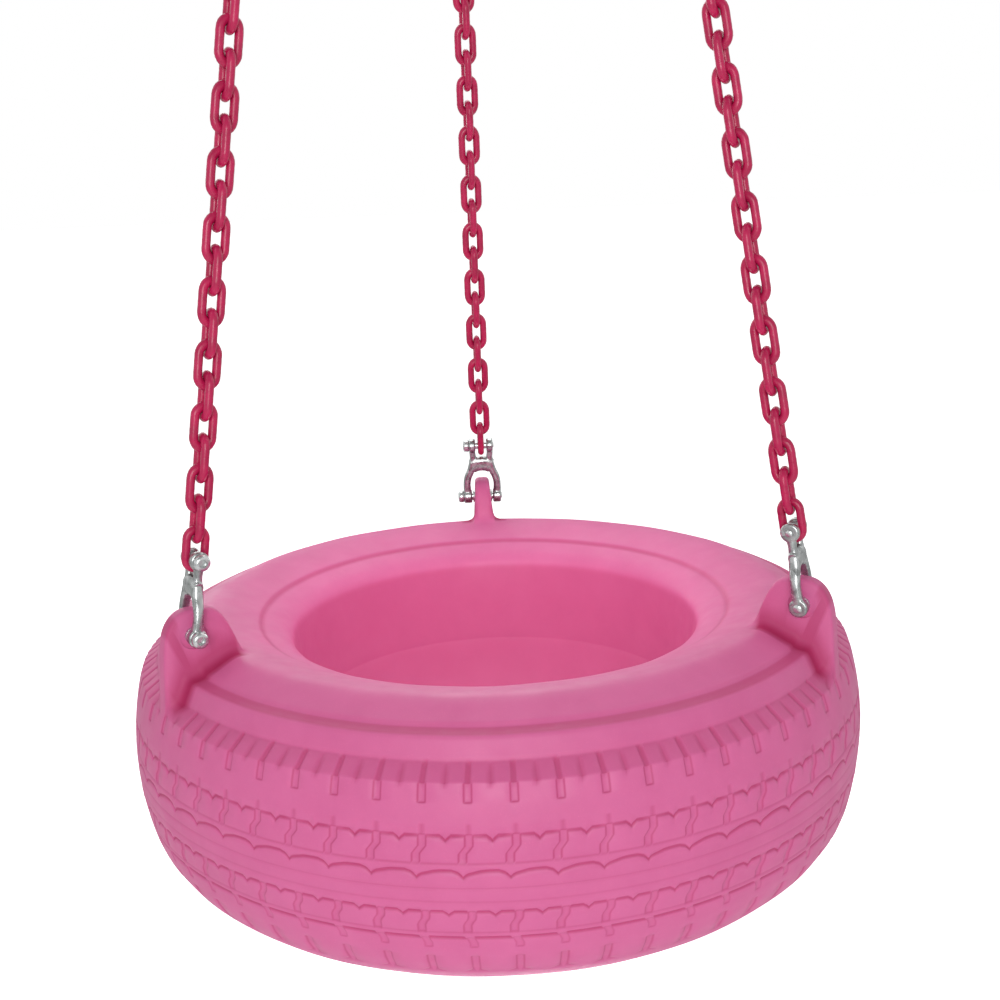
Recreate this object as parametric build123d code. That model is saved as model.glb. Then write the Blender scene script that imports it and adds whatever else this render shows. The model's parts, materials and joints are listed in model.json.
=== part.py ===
from build123d import *
import os
from math import atan, cos, degrees, sin

# Tire swing: a hollow plastic tire hung level by three coated chains from a universal swivel.
# Millimetres, +Z up. The origin is the centre of the hanger plate's mounting face and all else
# hangs below it. Each ear, clevis and chain is drawn in the X-Z plane, then turned to its azimuth.

# ---- driving dimensions --------------------------------------------------------------------
azimuths = {"rear": 90, "left": 210, "right": 330}  # the three hanging points, seen from above

# hollow tire seat, heights from its parting plane
tire_radius = 336  # at the crown of the tread
hole_radius = 181  # seat hole at the parting plane
crest_height = 113  # top of the sidewall above the parting plane
wall = 6
repeats = 62  # tread pattern repeats around the tire
shoulder_groove_width = 6
shoulder_groove_depth = 4.5
line_groove_depth = 3
line_groove_heights = (35, -46)
drain_radius = 6
drain_pcd_radius = 262

# ears and their bolts
ear_bolt_radius = 294  # from the tire's axis to the ear bolt
ear_bolt_height = 133.5
ear_round = 27
ear_round_x, ear_round_z = 297.5, 128  # centre of the ear's rounded top
ear_top_half, ear_foot_half = 8, 11.5  # half thickness at the ear's top and at its foot
ear_foot_height = 109
sleeve_radius = 7
recess_radius = 10
recess_half = 8.2  # half the ear's thickness inside the bolt recesses
sleeve_half = 10.8

# coated proof-coil chain
link_wire = 7.0
link_pitch = 24.9
link_gap = 0.15  # free play between touching wires
link_inner_width = 8.7
links = 49  # odd, so both end links lie square to the bolts
slope = 0.164  # inward run of the chain for each unit of rise

# double clevis between ear and chain
clevis_length = 62  # bolt to bolt
lower_gap, lower_width = 23.5, 42.5
upper_gap, upper_width = 12.6, 27.2
lower_eye, upper_eye = 8.0, 7.25
ear_bolt_shank, ear_bolt_tip = 4.75, 3.75
link_bolt_shank, link_bolt_tip = 4.0, 3.1
bolt_head_radius, bolt_head_height = 6.75, 6.6
running = 0.05  # radial clearance of a turning fit
snug = 0.02  # radial clearance of a fixed fit

# universal swivel
plate_x, plate_y, plate_thickness = 140, 90, 10
hole_spacing_x, hole_spacing_y, mount_hole = 110, 60, 6.5
fore_aft_z = -48
side_z = -92
pin_radius = 8
cheek_thickness = 10
cheek_gap = 54  # clear width between the cheeks of either fork
block_half = 25
block_round = 22
bush_radius = 11
bush_flange_radius = 15
washer_thickness = 3
housing_top, housing_bottom = -125, -190
housing_radius, housing_bore = 38, 30
ball_z, ball_radius, ball_ring, balls = -170, 4, 20, 12
race_gap = 3  # between the two races' faces
spindle_radius = 10
spindle_top = -143
hub_top, hub_bottom = -199, -222
top_bolt_z = -232  # the bolts that carry the chains

# ---- derived dimensions --------------------------------------------------------------------
lean = degrees(atan(slope))
link_inner = link_pitch + link_gap
end_offset = link_inner / 2 - link_bolt_shank - link_gap  # bolt to the end link's centre
chain_run = (links - 1) * link_pitch + 2 * end_offset
hang = chain_run + clevis_length
spider_radius = ear_bolt_radius - hang * sin(atan(slope))
ear_bolt_z = top_bolt_z - hang * cos(atan(slope))
seat_z = ear_bolt_z - ear_bolt_height


# ---- helpers -------------------------------------------------------------------------------
def cyl_x(radius, x0, x1, y=0, z=0):
    return Pos((x0 + x1) / 2, y, z) * Rot(0, 90, 0) * Cylinder(radius, abs(x1 - x0))


def cyl_y(radius, y0, y1, x=0, z=0):
    return Pos(x, (y0 + y1) / 2, z) * Rot(90, 0, 0) * Cylinder(radius, abs(y1 - y0))


def cyl_z(radius, z0, z1, x=0, y=0):
    return Pos(x, y, (z0 + z1) / 2) * Cylinder(radius, abs(z1 - z0))


def hexagon(across_flats, z0, z1):
    """Hexagonal prism about the Z axis."""
    return extrude(Plane.XY.offset(z0) * RegularPolygon(across_flats / 2, 6, major_radius=False), z1 - z0)


def slab_y(outline, y0, y1):
    """An outline of (x, z) points made into a plate between y0 and y1."""
    face = make_face(Polyline(*[(x, 0, z) for x, z in outline], close=True))
    return Pos(0, y0, 0) * extrude(face, y1 - y0, dir=(0, 1, 0))


def slab_x(outline, x0, x1):
    """An outline of (y, z) points made into a plate between x0 and x1."""
    face = make_face(Polyline(*[(0, y, z) for y, z in outline], close=True))
    return Pos(x0, 0, 0) * extrude(face, x1 - x0, dir=(1, 0, 0))


def mirrored(half):
    """Closes a half outline over the vertical axis."""
    return list(half) + [(-x, z) for x, z in reversed(half) if x > 0]


def at(name, shape):
    """Turns a shape drawn in the X-Z plane to a hanging point's azimuth."""
    return Rot(0, 0, azimuths[name]) * shape


def on_chain(shape):
    """Places a shape drawn about the ear bolt, Z up the chain, on the leaning chain line."""
    return Pos(ear_bolt_radius, 0, ear_bolt_z) * Rot(0, -lean, 0) * shape


def solids_of(*shapes):
    return [s for shape in shapes for s in shape.solids()]


# ---- tire seat -----------------------------------------------------------------------------
def tread_drop(height):
    """How far the rounded tread has fallen below its crown at a height from the parting plane."""
    return 8 * (height / 62) ** 2


def tire_section(inset):
    """Half of the tire's cross-section, above the parting plane, drawn inset from the skin."""
    crown, crest, bore = tire_radius - inset, crest_height - inset, hole_radius + inset
    low = inset * 0.6
    tread_edge = (crown - tread_drop(62), 0, 62 - 0.3 * inset)
    sidewall_edge = (crown - 31.7 + 0.4 * inset, 0, 97.5 - 0.82 * inset)
    return [
        ThreePointArc((crown, 0, 0), (crown - tread_drop(31), 0, 31), tread_edge),
        Polyline(tread_edge, (crown - 12 + 0.1 * inset, 0, 73 - 0.45 * inset),
                 (crown - 20 + 0.2 * inset, 0, 85.7 - 0.63 * inset), sidewall_edge),
        ThreePointArc(sidewall_edge, (262, 0, crest), (bore + 36 - low, 0, 101 - inset)),
        Line((bore + 36 - low, 0, 101 - inset), (bore + 35 - low, 0, 99.5 - inset)),
        ThreePointArc((bore + 35 - low, 0, 99.5 - inset), (bore + 19 - low, 0, 93.5 - inset),
                      (bore + 7 - low, 0, 80 - inset)),
        Polyline((bore + 7 - low, 0, 80 - inset), (bore + 3.5, 0, 66 - inset), (bore, 0, 0)),
    ]


def tire_body(inset):
    edges = Curve() + tire_section(inset)
    upper = make_face(edges + Line((hole_radius + inset, 0, 0), (tire_radius - inset, 0, 0)))
    half = revolve(upper, Axis.Z)
    return half + mirror(half, Plane.XY)


def ear(base_height):
    """A solid ear: a round around the bolt, a steep outer edge and a splayed inner edge."""
    outline = [
        (258, base_height),
        (258, 102),
        (262, 113),
        (ear_round_x - ear_round + 2, 122),
        (ear_round_x, ear_round_z),
        (ear_round_x + ear_round, ear_round_z),
        (323.5, 92),
        (323, base_height),
    ]
    top = ear_round_z + ear_round
    wedge = slab_x([(-ear_foot_half, base_height), (ear_foot_half, base_height), (ear_foot_half, ear_foot_height),
                    (ear_top_half, top), (-ear_top_half, top), (-ear_foot_half, ear_foot_height)], 250, 330)
    blade = slab_y(outline, -ear_foot_half, ear_foot_half)
    blade += cyl_y(ear_round, -ear_foot_half, ear_foot_half, ear_round_x, ear_round_z)
    blade &= wedge
    blade -= cyl_y(sleeve_radius + snug, -ear_foot_half, ear_foot_half, ear_bolt_radius, ear_bolt_height)
    for side in (-1, 1):
        blade -= cyl_y(recess_radius, side * recess_half, side * ear_foot_half, ear_bolt_radius, ear_bolt_height)
    return blade


def line_groove(height):
    """Ring-shaped cutter for one narrow groove around the tread."""
    lip = tire_radius + 1
    bed = tire_radius - tread_drop(height) - line_groove_depth
    outline = [(lip, height - 2.5), (lip, height + 2.5), (bed, height + 1), (bed, height - 1)]
    return revolve(make_face(Polyline(*[(x, 0, z) for x, z in outline], close=True)), Axis.Z)


def shoulder_groove():
    """Cutter for one upright groove across the tire's upper shoulder, following the shoulder's slope."""
    lip = tire_radius + 1
    bed = tire_radius - shoulder_groove_depth
    outline = [(lip, 62), (lip, 97), (bed - 28, 97), (bed - 20, 85), (bed - 12, 72), (bed - 8, 62)]
    return slab_y(outline, -shoulder_groove_width / 2, shoulder_groove_width / 2)


def seat_shell():
    shell = tire_body(0)
    shell -= [line_groove(height) for height in line_groove_heights]
    shell -= [Rot(0, 0, 360 * (i + 0.5) / repeats) * shoulder_groove() for i in range(repeats)]
    shell += [at(name, ear(72)) for name in azimuths]
    shell -= tire_body(wall + line_groove_depth)
    drain = cyl_z(drain_radius, -crest_height - 1, -crest_height + 20, drain_pcd_radius)
    shell -= [Rot(0, 0, azimuth + 60) * drain for azimuth in azimuths.values()]
    return Pos(0, 0, seat_z) * shell


def ear_sleeve():
    tube = cyl_y(sleeve_radius, -sleeve_half, sleeve_half)
    tube -= cyl_y(ear_bolt_shank + running, -sleeve_half, sleeve_half)
    return Pos(ear_bolt_radius, 0, ear_bolt_z) * tube


# ---- chain ---------------------------------------------------------------------------------
def chain_link():
    """One stadium-shaped link in the X-Z plane, centred on the origin."""
    wire = link_wire / 2
    bend = link_inner_width / 2 + wire
    straight = link_inner / 2 + wire - bend
    end = Pos(bend, 0, straight) * revolve(Circle(wire), Axis((-bend, 0, 0), (0, 1, 0)), -180)
    bars = cyl_z(wire, -straight, straight, bend) + cyl_z(wire, -straight, straight, -bend)
    return bars + end + mirror(end, Plane.XY)


def chain():
    """All links of one chain, bottom link first, turned by a quarter from link to link."""
    link = chain_link()
    first = clevis_length + end_offset
    return [on_chain(Pos(0, 0, first + i * link_pitch) * Rot(0, 0, 90 * (i % 2)) * link) for i in range(links)]


# ---- double clevis -------------------------------------------------------------------------
def double_clevis():
    """Forged H: a wide lower jaw over the ear, a narrow upper jaw for the end link."""
    front = mirrored([
        (0, lower_eye + 24),
        (lower_gap / 2 * 0.7, lower_eye + 22.5),
        (lower_gap / 2, lower_eye + 19),
        (lower_gap / 2, -lower_eye),
        (lower_width / 2, -lower_eye),
        (lower_width / 2, lower_eye + 14),
        (upper_width / 2, clevis_length - 22),
        (upper_width / 2, clevis_length + upper_eye),
        (upper_gap / 2, clevis_length + upper_eye),
        (upper_gap / 2, clevis_length - 8),
        (upper_gap / 2 * 0.7, clevis_length - 11.8),
        (0, clevis_length - 13.4),
    ])
    side = mirrored([(5.5, 4), (4.5, 14), (4.8, 24), (6.8, 40), (4.6, 52), (5, 60)])
    block = slab_x(front, -lower_eye, lower_eye)
    profile = slab_y(side, -lower_width / 2, lower_width / 2)
    profile += cyl_y(lower_eye, -lower_width / 2, lower_width / 2)
    profile += cyl_y(upper_eye, -upper_width / 2, upper_width / 2, 0, clevis_length)
    body = block & profile
    body -= cyl_y(ear_bolt_shank + running, 0, lower_width / 2)
    body -= cyl_y(ear_bolt_tip + running, -lower_width / 2, 0)
    body -= cyl_y(link_bolt_shank + running, 0, upper_width / 2, 0, clevis_length)
    body -= cyl_y(link_bolt_tip + running, -upper_width / 2, 0, 0, clevis_length)
    return on_chain(body)


def shoulder_bolt(shank, tip, width, gap, height):
    """Round-headed shoulder bolt along Y: head on the +Y side, thread in the far arm."""
    head = cyl_y(bolt_head_radius, width / 2, width / 2 + bolt_head_height, 0, height)
    rim = head.edges().filter_by(GeomType.CIRCLE).sort_by(Axis.Y)[-1]
    head = fillet(rim, 1.5)
    top = Plane(origin=(0, width / 2 + bolt_head_height, height), z_dir=(0, 1, 0))
    head -= extrude(top * RegularPolygon(3, 6), -3.5)
    return head + cyl_y(shank, -gap / 2, width / 2, 0, height) + cyl_y(tip, -width / 2 - 1, -gap / 2, 0, height)


def ear_bolt():
    return on_chain(shoulder_bolt(ear_bolt_shank, ear_bolt_tip, lower_width, lower_gap, 0))


def link_bolt():
    return on_chain(shoulder_bolt(link_bolt_shank, link_bolt_tip, upper_width, upper_gap, clevis_length))


# ---- universal swivel ----------------------------------------------------------------------
def cheek_outline(pin_z, root_z, root_half, tip_round):
    """One cheek of a fork, without its rounded tip."""
    return [(-root_half, root_z), (root_half, root_z), (tip_round, pin_z), (-tip_round, pin_z)]


def hanger_bracket():
    plate = Pos(0, 0, -plate_thickness / 2) * Box(plate_x, plate_y, plate_thickness)
    plate = fillet(plate.edges().filter_by(Axis.Z), 10)
    plate -= [cyl_z(mount_hole, -plate_thickness, 0, sx * hole_spacing_x / 2, sy * hole_spacing_y / 2)
              for sx in (-1, 1) for sy in (-1, 1)]
    for side in (-1, 1):
        inner, outer = side * cheek_gap / 2, side * (cheek_gap / 2 + cheek_thickness)
        cheek = slab_x(cheek_outline(fore_aft_z, -plate_thickness, 30, 20), inner, outer)
        cheek += cyl_x(20, inner, outer, 0, fore_aft_z)
        plate += cheek - cyl_x(pin_radius + running, inner, outer, 0, fore_aft_z)
    return plate


def cross_block():
    """Two crossed barrels on a square neck, one for each swing pin."""
    neck = Pos(0, 0, (fore_aft_z + side_z) / 2) * Box(2 * block_round, 2 * block_round, fore_aft_z - side_z)
    block = neck + cyl_x(block_round, -block_half, block_half, 0, fore_aft_z)
    block += cyl_y(block_round, -block_half, block_half, 0, side_z)
    block -= cyl_x(bush_radius + snug, -block_half, block_half, 0, fore_aft_z)
    return block - cyl_y(bush_radius + snug, -block_half, block_half, 0, side_z)


def bush_pair():
    """Two flanged bushes about the X axis, pushed in from either end of a barrel."""
    pair = []
    for side in (-1, 1):
        bush = cyl_x(bush_radius, side * 0.5, side * block_half)
        bush += cyl_x(bush_flange_radius, side * block_half, side * (block_half + 1.5))
        pair.append(bush - cyl_x(pin_radius + running, 0, side * (block_half + 2)))
    return pair


def swing_pin():
    """Hexagon-headed pin along X, long enough for both cheeks, two washers and the nut."""
    reach = cheek_gap / 2 + cheek_thickness + washer_thickness
    head = Rot(0, 90, 0) * fillet_hex(24, reach, reach + 10)
    return head + cyl_x(pin_radius, -reach - 17, reach)


def fillet_hex(across_flats, z0, z1):
    """Hexagon with its outer corners turned off, as on a bolt head or nut."""
    cone = cyl_z(across_flats * 0.56, z0, z1)
    cone = chamfer(cone.edges().filter_by(GeomType.CIRCLE).sort_by(Axis.Z)[-1], 1.2)
    return hexagon(across_flats, z0, z1) & cone


def swing_nut():
    reach = cheek_gap / 2 + cheek_thickness + washer_thickness
    nut = Rot(0, -90, 0) * fillet_hex(24, reach, reach + 14)
    return nut - cyl_x(pin_radius + snug, -reach - 15, -reach)


def swing_washers():
    start = cheek_gap / 2 + cheek_thickness
    return [cyl_x(15, side * start, side * (start + washer_thickness - snug))
            - cyl_x(pin_radius + running, side * start, side * (start + washer_thickness))
            for side in (-1, 1)]


def fore_aft(shape):
    return Pos(0, 0, fore_aft_z) * shape


def side(shape):
    return Pos(0, 0, side_z) * Rot(0, 0, 90) * shape


def swivel_housing():
    crown = Pos(0, 0, housing_top - 7) * Box(56, cheek_gap + 2 * cheek_thickness, 14)
    crown = fillet(crown.edges().filter_by(Axis.Z), 8)
    cup = crown + cyl_z(housing_radius, housing_top - 6, housing_bottom)
    for sign in (-1, 1):
        inner, outer = sign * cheek_gap / 2, sign * (cheek_gap / 2 + cheek_thickness)
        cheek = slab_y(cheek_outline(side_z, housing_top - 5, 20, 18), inner, outer)
        cheek += cyl_y(18, inner, outer, 0, side_z)
        cup += cheek - cyl_y(pin_radius + running, inner, outer, 0, side_z)
    cup -= cyl_z(housing_bore, housing_top - 14, housing_bottom)
    cup -= [cyl_z(2.5, housing_bottom, housing_bottom + 14, x, y) for x, y in screw_places()]
    return cup - cyl_x(3 + snug, housing_bore - 5, housing_radius + 1, 0, -158)


def screw_places():
    places = PolarLocations((housing_radius + housing_bore) / 2, len(azimuths), 90)
    return [(p.position.X, p.position.Y) for p in places]


def housing_cap():
    cap = cyl_z(housing_bore - snug, housing_bottom, housing_bottom + 14)
    cap += cyl_z(housing_radius, housing_bottom - 4, housing_bottom)
    cap -= cyl_z(spindle_radius + 3 + snug, housing_bottom - 4, housing_bottom + 14)
    return cap - [cyl_z(2.7, housing_bottom - 4, housing_bottom, x, y) for x, y in screw_places()]


def cap_screws():
    return [cyl_z(2.5 - snug, housing_bottom - 4, housing_bottom + 12, x, y)
            + cyl_z(4, housing_bottom - 7, housing_bottom - 4, x, y) for x, y in screw_places()]


def spindle_bush():
    tube = cyl_z(spindle_radius + 3, housing_bottom - 4, housing_bottom + 14)
    return tube - cyl_z(spindle_radius + running, housing_bottom - 4, housing_bottom + 14)


def race(z0, z1, bore):
    """Flat ring with a round groove that the balls run in."""
    ring = cyl_z(housing_bore - 2, z0, z1) - cyl_z(bore, z0, z1)
    return ring - Pos(0, 0, ball_z) * Torus(ball_ring, ball_radius + 0.15)


def lower_race():
    return race(housing_bottom + 14 + running, ball_z - race_gap / 2, spindle_radius + 2)


def upper_race():
    return race(ball_z + race_gap / 2, -164 - running, spindle_radius + 0.1)


def ball_places():
    return PolarLocations(ball_ring, balls)


def bearing_balls():
    return [Pos(0, 0, ball_z) * place * Sphere(ball_radius) for place in ball_places()]


def ball_cage():
    ring = cyl_z(ball_ring + 5.5, ball_z - 0.8, ball_z + 0.8) - cyl_z(ball_ring - 5.5, ball_z - 0.8, ball_z + 0.8)
    return ring - [Pos(0, 0, ball_z) * place * Sphere(ball_radius + 0.12) for place in ball_places()]


def grease_nipple():
    body = cyl_x(3, housing_bore + 1, housing_radius) + cyl_x(4.5, housing_radius, housing_radius + 3)
    return Pos(0, 0, -158) * (body + cyl_x(2.5, housing_radius + 3, housing_radius + 8)
                              + Pos(housing_radius + 8, 0, 0) * Sphere(3))


def spindle():
    shaft = cyl_z(spindle_radius, spindle_top, hub_bottom)
    shaft = chamfer(shaft.edges().filter_by(GeomType.CIRCLE).sort_by(Axis.Z)[-1], 1.5)
    head = Rot(180, 0, 0) * fillet_hex(32, -hub_bottom, -hub_bottom + 12)
    return shaft + head - cyl_x(2, -spindle_radius, spindle_radius, 0, -147)


def spindle_nut():
    nut = fillet_hex(36, -164, -150)
    return nut - cyl_z(spindle_radius + snug, -164, -150)


def cotter_pin():
    legs = cyl_x(1.8, -spindle_radius - 6, spindle_radius + 3, 0, -147)
    eye = Pos(spindle_radius + 5.5, 0, -147) * Torus(3, 1.4)
    return legs + eye


def dust_seal():
    lip = cyl_z(24, hub_top, housing_bottom - 4 - 0.1) - cyl_z(spindle_radius + 1, hub_top, housing_bottom - 4)
    return chamfer(lip.edges().filter_by(GeomType.CIRCLE).sort_by(Axis.Z)[-1], 1)


def spider():
    """Hub with three arms, each ending in a fork for a chain's top link."""
    body = cyl_z(27, hub_top, hub_bottom)
    width = upper_width + 2
    for azimuth in azimuths.values():
        arm = Pos((spider_radius - 16) / 2, 0, -215) * Box(spider_radius - 16, width, 14)
        outline = [(spider_radius - 34, -208), (spider_radius - 2, -208), (spider_radius + 11, -226),
                   (spider_radius, top_bolt_z), (spider_radius - 12, -234), (spider_radius - 34, hub_bottom)]
        for y0, y1 in ((-width / 2, -upper_gap / 2), (upper_gap / 2, width / 2)):
            lug = slab_y(outline, y0, y1) + cyl_y(12, y0, y1, spider_radius, top_bolt_z)
            arm += lug - cyl_y(link_bolt_shank + running, y0, y1, spider_radius, top_bolt_z)
        body += Rot(0, 0, azimuth) * arm
    return body - cyl_z(spindle_radius + snug, hub_top, hub_bottom)


def spider_bolts():
    width = upper_width + 2
    bolt = shoulder_bolt(link_bolt_shank, link_bolt_shank, width, upper_gap, 0)
    bolt += cyl_y(link_bolt_shank, -width / 2 - 10, -width / 2)
    return [at(name, Pos(spider_radius, 0, top_bolt_z) * bolt) for name in azimuths]


def spider_nuts():
    width = upper_width + 2
    nut = Rot(90, 0, 0) * fillet_hex(13, width / 2 + snug, width / 2 + 8)
    nut -= cyl_y(link_bolt_shank + snug, -width / 2 - 9, -width / 2)
    return [at(name, Pos(spider_radius, 0, top_bolt_z) * nut) for name in azimuths]


# ---- nodes ---------------------------------------------------------------------------------
nodes = {
    "hanger_bracket": [hanger_bracket()],
    "fore_aft_pin": [fore_aft(swing_pin())],
    "fore_aft_nut": [fore_aft(swing_nut())],
    "fore_aft_washers": [fore_aft(w) for w in swing_washers()],
    "cross_block": [cross_block()],
    "fore_aft_bushes": [fore_aft(b) for b in bush_pair()],
    "side_bushes": [side(b) for b in bush_pair()],
    "swivel_housing": [swivel_housing()],
    "side_pin": [side(swing_pin())],
    "side_nut": [side(swing_nut())],
    "side_washers": [side(w) for w in swing_washers()],
    "housing_cap": [housing_cap()],
    "cap_screws": cap_screws(),
    "spindle_bush": [spindle_bush()],
    "lower_race": [lower_race()],
    "bearing_balls": bearing_balls(),
    "ball_cage": [ball_cage()],
    "grease_nipple": [grease_nipple()],
    "spindle": [spindle()],
    "upper_race": [upper_race()],
    "spindle_nut": [spindle_nut()],
    "cotter_pin": [cotter_pin()],
    "dust_seal": [dust_seal()],
    "spider": [spider()],
    "spider_bolts": spider_bolts(),
    "spider_nuts": spider_nuts(),
    "seat_shell": [seat_shell()],
    "ear_sleeves": [at(name, ear_sleeve()) for name in azimuths],
}
for name in azimuths:
    nodes[name + "_chain"] = [at(name, link) for link in chain()]
    nodes[name + "_clevis"] = [at(name, double_clevis())]
    nodes[name + "_ear_bolt"] = [at(name, ear_bolt())]
    nodes[name + "_link_bolt"] = [at(name, link_bolt())]

os.makedirs("parts", exist_ok=True)
for name, shapes in nodes.items():
    pieces = solids_of(*shapes)
    export_step(Compound(children=pieces) if len(pieces) > 1 else pieces[0], f"parts/{name}.step")
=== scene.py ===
"""Tire swing: the moulded seat, coated chains, forged clevises and finishes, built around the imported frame.

Lengths are millimetres in the row frame, scaled to metres as each mesh is made. A "local" shape is drawn
for one hanging point in the X-Z plane, X outward from the tire's axis, Y along the bolts, Z up.
"""

import json
import math

import bpy
import numpy as np
from mathutils import Matrix, Vector


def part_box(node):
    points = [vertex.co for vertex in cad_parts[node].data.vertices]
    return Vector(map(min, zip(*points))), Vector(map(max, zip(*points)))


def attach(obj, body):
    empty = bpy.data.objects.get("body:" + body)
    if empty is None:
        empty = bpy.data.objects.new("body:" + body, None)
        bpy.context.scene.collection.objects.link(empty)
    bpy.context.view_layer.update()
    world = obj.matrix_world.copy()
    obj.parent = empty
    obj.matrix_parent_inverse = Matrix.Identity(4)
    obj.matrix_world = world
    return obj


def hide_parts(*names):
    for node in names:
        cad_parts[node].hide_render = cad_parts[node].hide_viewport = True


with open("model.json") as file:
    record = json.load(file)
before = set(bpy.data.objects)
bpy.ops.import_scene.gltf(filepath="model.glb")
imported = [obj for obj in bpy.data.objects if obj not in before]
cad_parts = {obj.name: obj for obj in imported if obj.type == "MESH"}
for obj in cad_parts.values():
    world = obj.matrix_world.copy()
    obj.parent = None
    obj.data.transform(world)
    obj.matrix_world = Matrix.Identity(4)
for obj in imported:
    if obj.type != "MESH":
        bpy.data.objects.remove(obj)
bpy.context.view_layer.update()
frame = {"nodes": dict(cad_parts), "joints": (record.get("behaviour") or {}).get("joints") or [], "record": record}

# ---- places and sizes taken from the frame ---------------------------------------------------
MM = 0.001
AZIMUTHS = {"rear": math.radians(90), "left": math.radians(210), "right": math.radians(330)}
BODY_OF = {node: body for body, nodes in frame["record"]["behaviour"]["bodies"].items() for node in nodes}
JOINTS = {joint["name"]: joint for joint in frame["joints"]}


def span(node):
    """Lowest and highest corner of a CAD node, in millimetres."""
    low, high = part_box(node)
    return np.array(low) / MM, np.array(high) / MM


seat_low, seat_high = span("seat_shell")
crown = (seat_high[0] - seat_low[0]) / 2
middle, crest = 6, 119  # the parting plane and the sidewall's top above the seat's datum plane
seat_z = seat_low[2] + crest - 2 * middle  # the datum plane
ear_bolt = Vector(JOINTS["seat_pivot"]["pos_m"]) / MM
top_bolt = Vector(JOINTS["rear_chain_pivot"]["pos_m"]) / MM
link_bolt = Vector((span("rear_link_bolt")[0] + span("rear_link_bolt")[1]) / 2)
ear_radius = ear_bolt.y  # the rear ear lies on +Y, so its distance from the axis is y
clevis_length = math.hypot(link_bolt.y - ear_bolt.y, link_bolt.z - ear_bolt.z)
chain_run = math.hypot(top_bolt.y - link_bolt.y, top_bolt.z - link_bolt.z)
lean = math.atan2(ear_bolt.y - top_bolt.y, top_bolt.z - ear_bolt.z)

# ---- driving dimensions of the looks ---------------------------------------------------------
repeats = 62
pitch = 2 * math.pi * crown / repeats
pattern_turn = math.radians(2.85)  # the tread pattern starts this far round from the ears
wall = 7
skin_inset = 0.36  # the visible skin lies this far inside the nominal one, so that its swell stays within
drain_radius, drain_ring = 6, 262
recess_radius, recess_half, sleeve_hole = 11.4, 8.2, 7.06

link_shank, link_tip = 4.0, 3.1  # radii of the link bolt, which an end link of the chain turns on
link_count = 49
# Half the coated wire's thickness, the link's inner width, and extra coating outside its rounded ends.
common_link = (3.6, 8.2, 1.2)
bolt_link = (3.5, 8.7, 0)  # the first and last link, which turn on bolts
link_gap = 0.15
link_pitch = (chain_run + 2 * (link_shank + link_gap) - link_gap) / link_count


# ---- mesh helpers ----------------------------------------------------------------------------
def make_piece(name, points, faces, material, sharp=None):
    """A smooth mesh object from points in millimetres, sharp where faces turn over `sharp` degrees."""
    mesh = bpy.data.meshes.new(name)
    mesh.from_pydata((np.asarray(points, float) * MM).tolist(), [], faces)
    mesh.shade_smooth()
    if sharp:
        mesh.set_sharp_from_angle(angle=math.radians(sharp))
    mesh.materials.append(material)
    piece = bpy.data.objects.new(name, mesh)
    bpy.context.scene.collection.objects.link(piece)
    return piece


def join_shapes(shapes):
    """Several (points, faces) shapes as one."""
    points, faces, start = [], [], 0
    for shape_points, shape_faces in shapes:
        points.append(np.asarray(shape_points, float))
        faces += [[start + i for i in face] for face in shape_faces]
        start += len(shape_points)
    return np.vstack(points), faces


def moved(shape, matrix):
    """A (points, faces) shape carried by a 4x4 matrix."""
    m = np.array(matrix)
    points, faces = shape
    return np.asarray(points, float) @ m[:3, :3].T + m[:3, 3], faces


def lathe(profile, segments=48):
    """Closed surface about Z from (radius, z) points that start and end on the axis, bottom first."""
    turn = np.linspace(0, 2 * math.pi, segments, endpoint=False)
    points = [(0, 0, profile[0][1])]
    for radius, z in profile[1:-1]:
        points += [(radius * math.cos(a), radius * math.sin(a), z) for a in turn]
    points.append((0, 0, profile[-1][1]))
    faces = []
    for ring in range(len(profile) - 3):
        base = 1 + ring * segments
        for i in range(segments):
            k = (i + 1) % segments
            faces.append([base + i, base + k, base + segments + k, base + segments + i])
    last = len(points) - 1
    top = last - segments
    for i in range(segments):
        k = (i + 1) % segments
        faces.append([0, 1 + k, 1 + i])
        faces.append([last, top + i, top + k])
    return points, faces


Z_TO_Y = Matrix(((1, 0, 0, 0), (0, 0, 1, 0), (0, -1, 0, 0), (0, 0, 0, 1)))


def local_to_frame(name):
    """Turns a local shape to its hanging point's azimuth."""
    return Matrix.Rotation(AZIMUTHS[name], 4, "Z")


def chain_to_local(distance=0.0):
    """Places a shape drawn about a point of the leaning chain line, `distance` above the ear bolt."""
    base = Matrix.Translation((ear_radius, 0, ear_bolt.z)) @ Matrix.Rotation(-lean, 4, "Y")
    return base @ Matrix.Translation((0, 0, distance))


def curve_through(points, spacing):
    """Evenly spaced points on a smooth curve through the given ones."""
    p = np.array(points, float)
    ends = np.vstack([2 * p[0] - p[1], p, 2 * p[-1] - p[-2]])
    t = np.linspace(0, 1, 12, endpoint=False)[:, None]
    pieces = []
    for a, b, c, d in zip(ends, ends[1:], ends[2:], ends[3:]):
        cubic = (3 * b - a - 3 * c + d) * t**3
        pieces.append(0.5 * (2 * b + (c - a) * t + (2 * a - 5 * b + 4 * c - d) * t**2 + cubic))
    fine = np.vstack(pieces + [p[-1:]])
    length = run_length(fine)
    places = np.linspace(0, length[-1], max(2, round(length[-1] / spacing) + 1))
    return np.column_stack([np.interp(places, length, fine[:, k]) for k in range(p.shape[1])])


def run_length(points):
    steps = np.linalg.norm(np.diff(points, axis=0), axis=1)
    return np.concatenate([[0], np.cumsum(steps)])


def smoothstep(low, high, value):
    t = np.clip((value - low) / (high - low), 0, 1)
    return t * t * (3 - 2 * t)


def inside(value, low, high, soft):
    """1 between low and high, falling to 0 over `soft` on either side of each."""
    return smoothstep(low - soft, low + soft, value) * (1 - smoothstep(high - soft, high + soft, value))


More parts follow.
